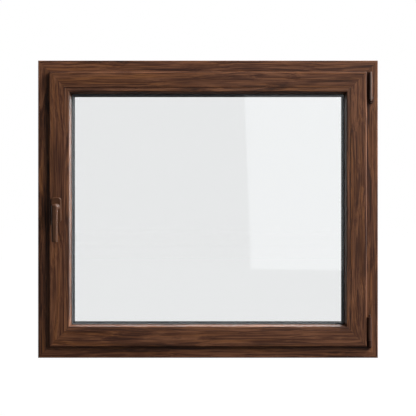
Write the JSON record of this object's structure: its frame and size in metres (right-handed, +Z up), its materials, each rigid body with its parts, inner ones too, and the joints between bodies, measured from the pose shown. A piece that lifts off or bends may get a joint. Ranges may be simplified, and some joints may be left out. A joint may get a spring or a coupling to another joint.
{
  "type": "pvc window",
  "caption": "Brown wood-grain PVC window with a mitred frame, a closed hinged sash, a sealed glass unit held by glazing beads, a lever handle and side hinges.",
  "frame": {"origin": "centre of the frame's underside, at mid-depth of the frame, on the face that sits on the wall's sill", "axes": "+X to the right as seen from the room, +Y outdoors, +Z up; the room side is -Y"},
  "size_m": [1.2, 0.149, 1.05],
  "materials": {
    "frame_foil": "satin walnut wood-grain foil, grain along each bar",
    "sash_foil": "satin walnut wood-grain foil, grain along each bar",
    "bead_foil": "satin walnut wood-grain foil, grain along each bar",
    "gasket": "matt black rubber",
    "glass": "clear float glass",
    "spacer": "mill-finish aluminium",
    "handle": "satin dark brown lacquer",
    "hinge_cover": "satin dark brown lacquer",
    "hinge_metal": "satin brown lacquer",
    "drain_cap": "satin brown plastic"
  },
  "bodies": {
    "root": {"bead_gasket_bottom": "gasket", "bead_gasket_left": "gasket", "bead_gasket_right": "gasket", "bead_gasket_top": "gasket", "drain_caps": "drain_cap", "frame_gasket_bottom": "gasket", "frame_gasket_left": "gasket", "frame_gasket_right": "gasket", "frame_gasket_top": "gasket", "frame_head": "frame_foil", "frame_jamb_left": "frame_foil", "frame_jamb_right": "frame_foil", "frame_sill": "frame_foil", "glass_spacer_bottom": "spacer", "glass_spacer_left": "spacer", "glass_spacer_right": "spacer", "glass_spacer_top": "spacer", "glazing_bead_bottom": "bead_foil", "glazing_bead_left": "bead_foil", "glazing_bead_right": "bead_foil", "glazing_bead_top": "bead_foil", "handle_lever": "handle", "handle_rosette": "handle", "inner_pane": "glass", "lip_gasket_bottom": "gasket", "lip_gasket_left": "gasket", "lip_gasket_right": "gasket", "lip_gasket_top": "gasket", "lower_hinge_band": "hinge_cover", "lower_hinge_bearing": "hinge_cover", "lower_hinge_cap": "hinge_metal", "lower_hinge_pin": "hinge_metal", "outer_glass_gasket_bottom": "gasket", "outer_glass_gasket_left": "gasket", "outer_glass_gasket_right": "gasket", "outer_glass_gasket_top": "gasket", "outer_pane": "glass", "sash_bottom_rail": "sash_foil", "sash_hinge_stile": "sash_foil", "sash_lock_stile": "sash_foil", "sash_top_rail": "sash_foil", "upper_hinge_bearing": "hinge_cover", "upper_hinge_cover": "hinge_cover", "upper_hinge_pin": "hinge_metal"}
  },
  "joints": []
}
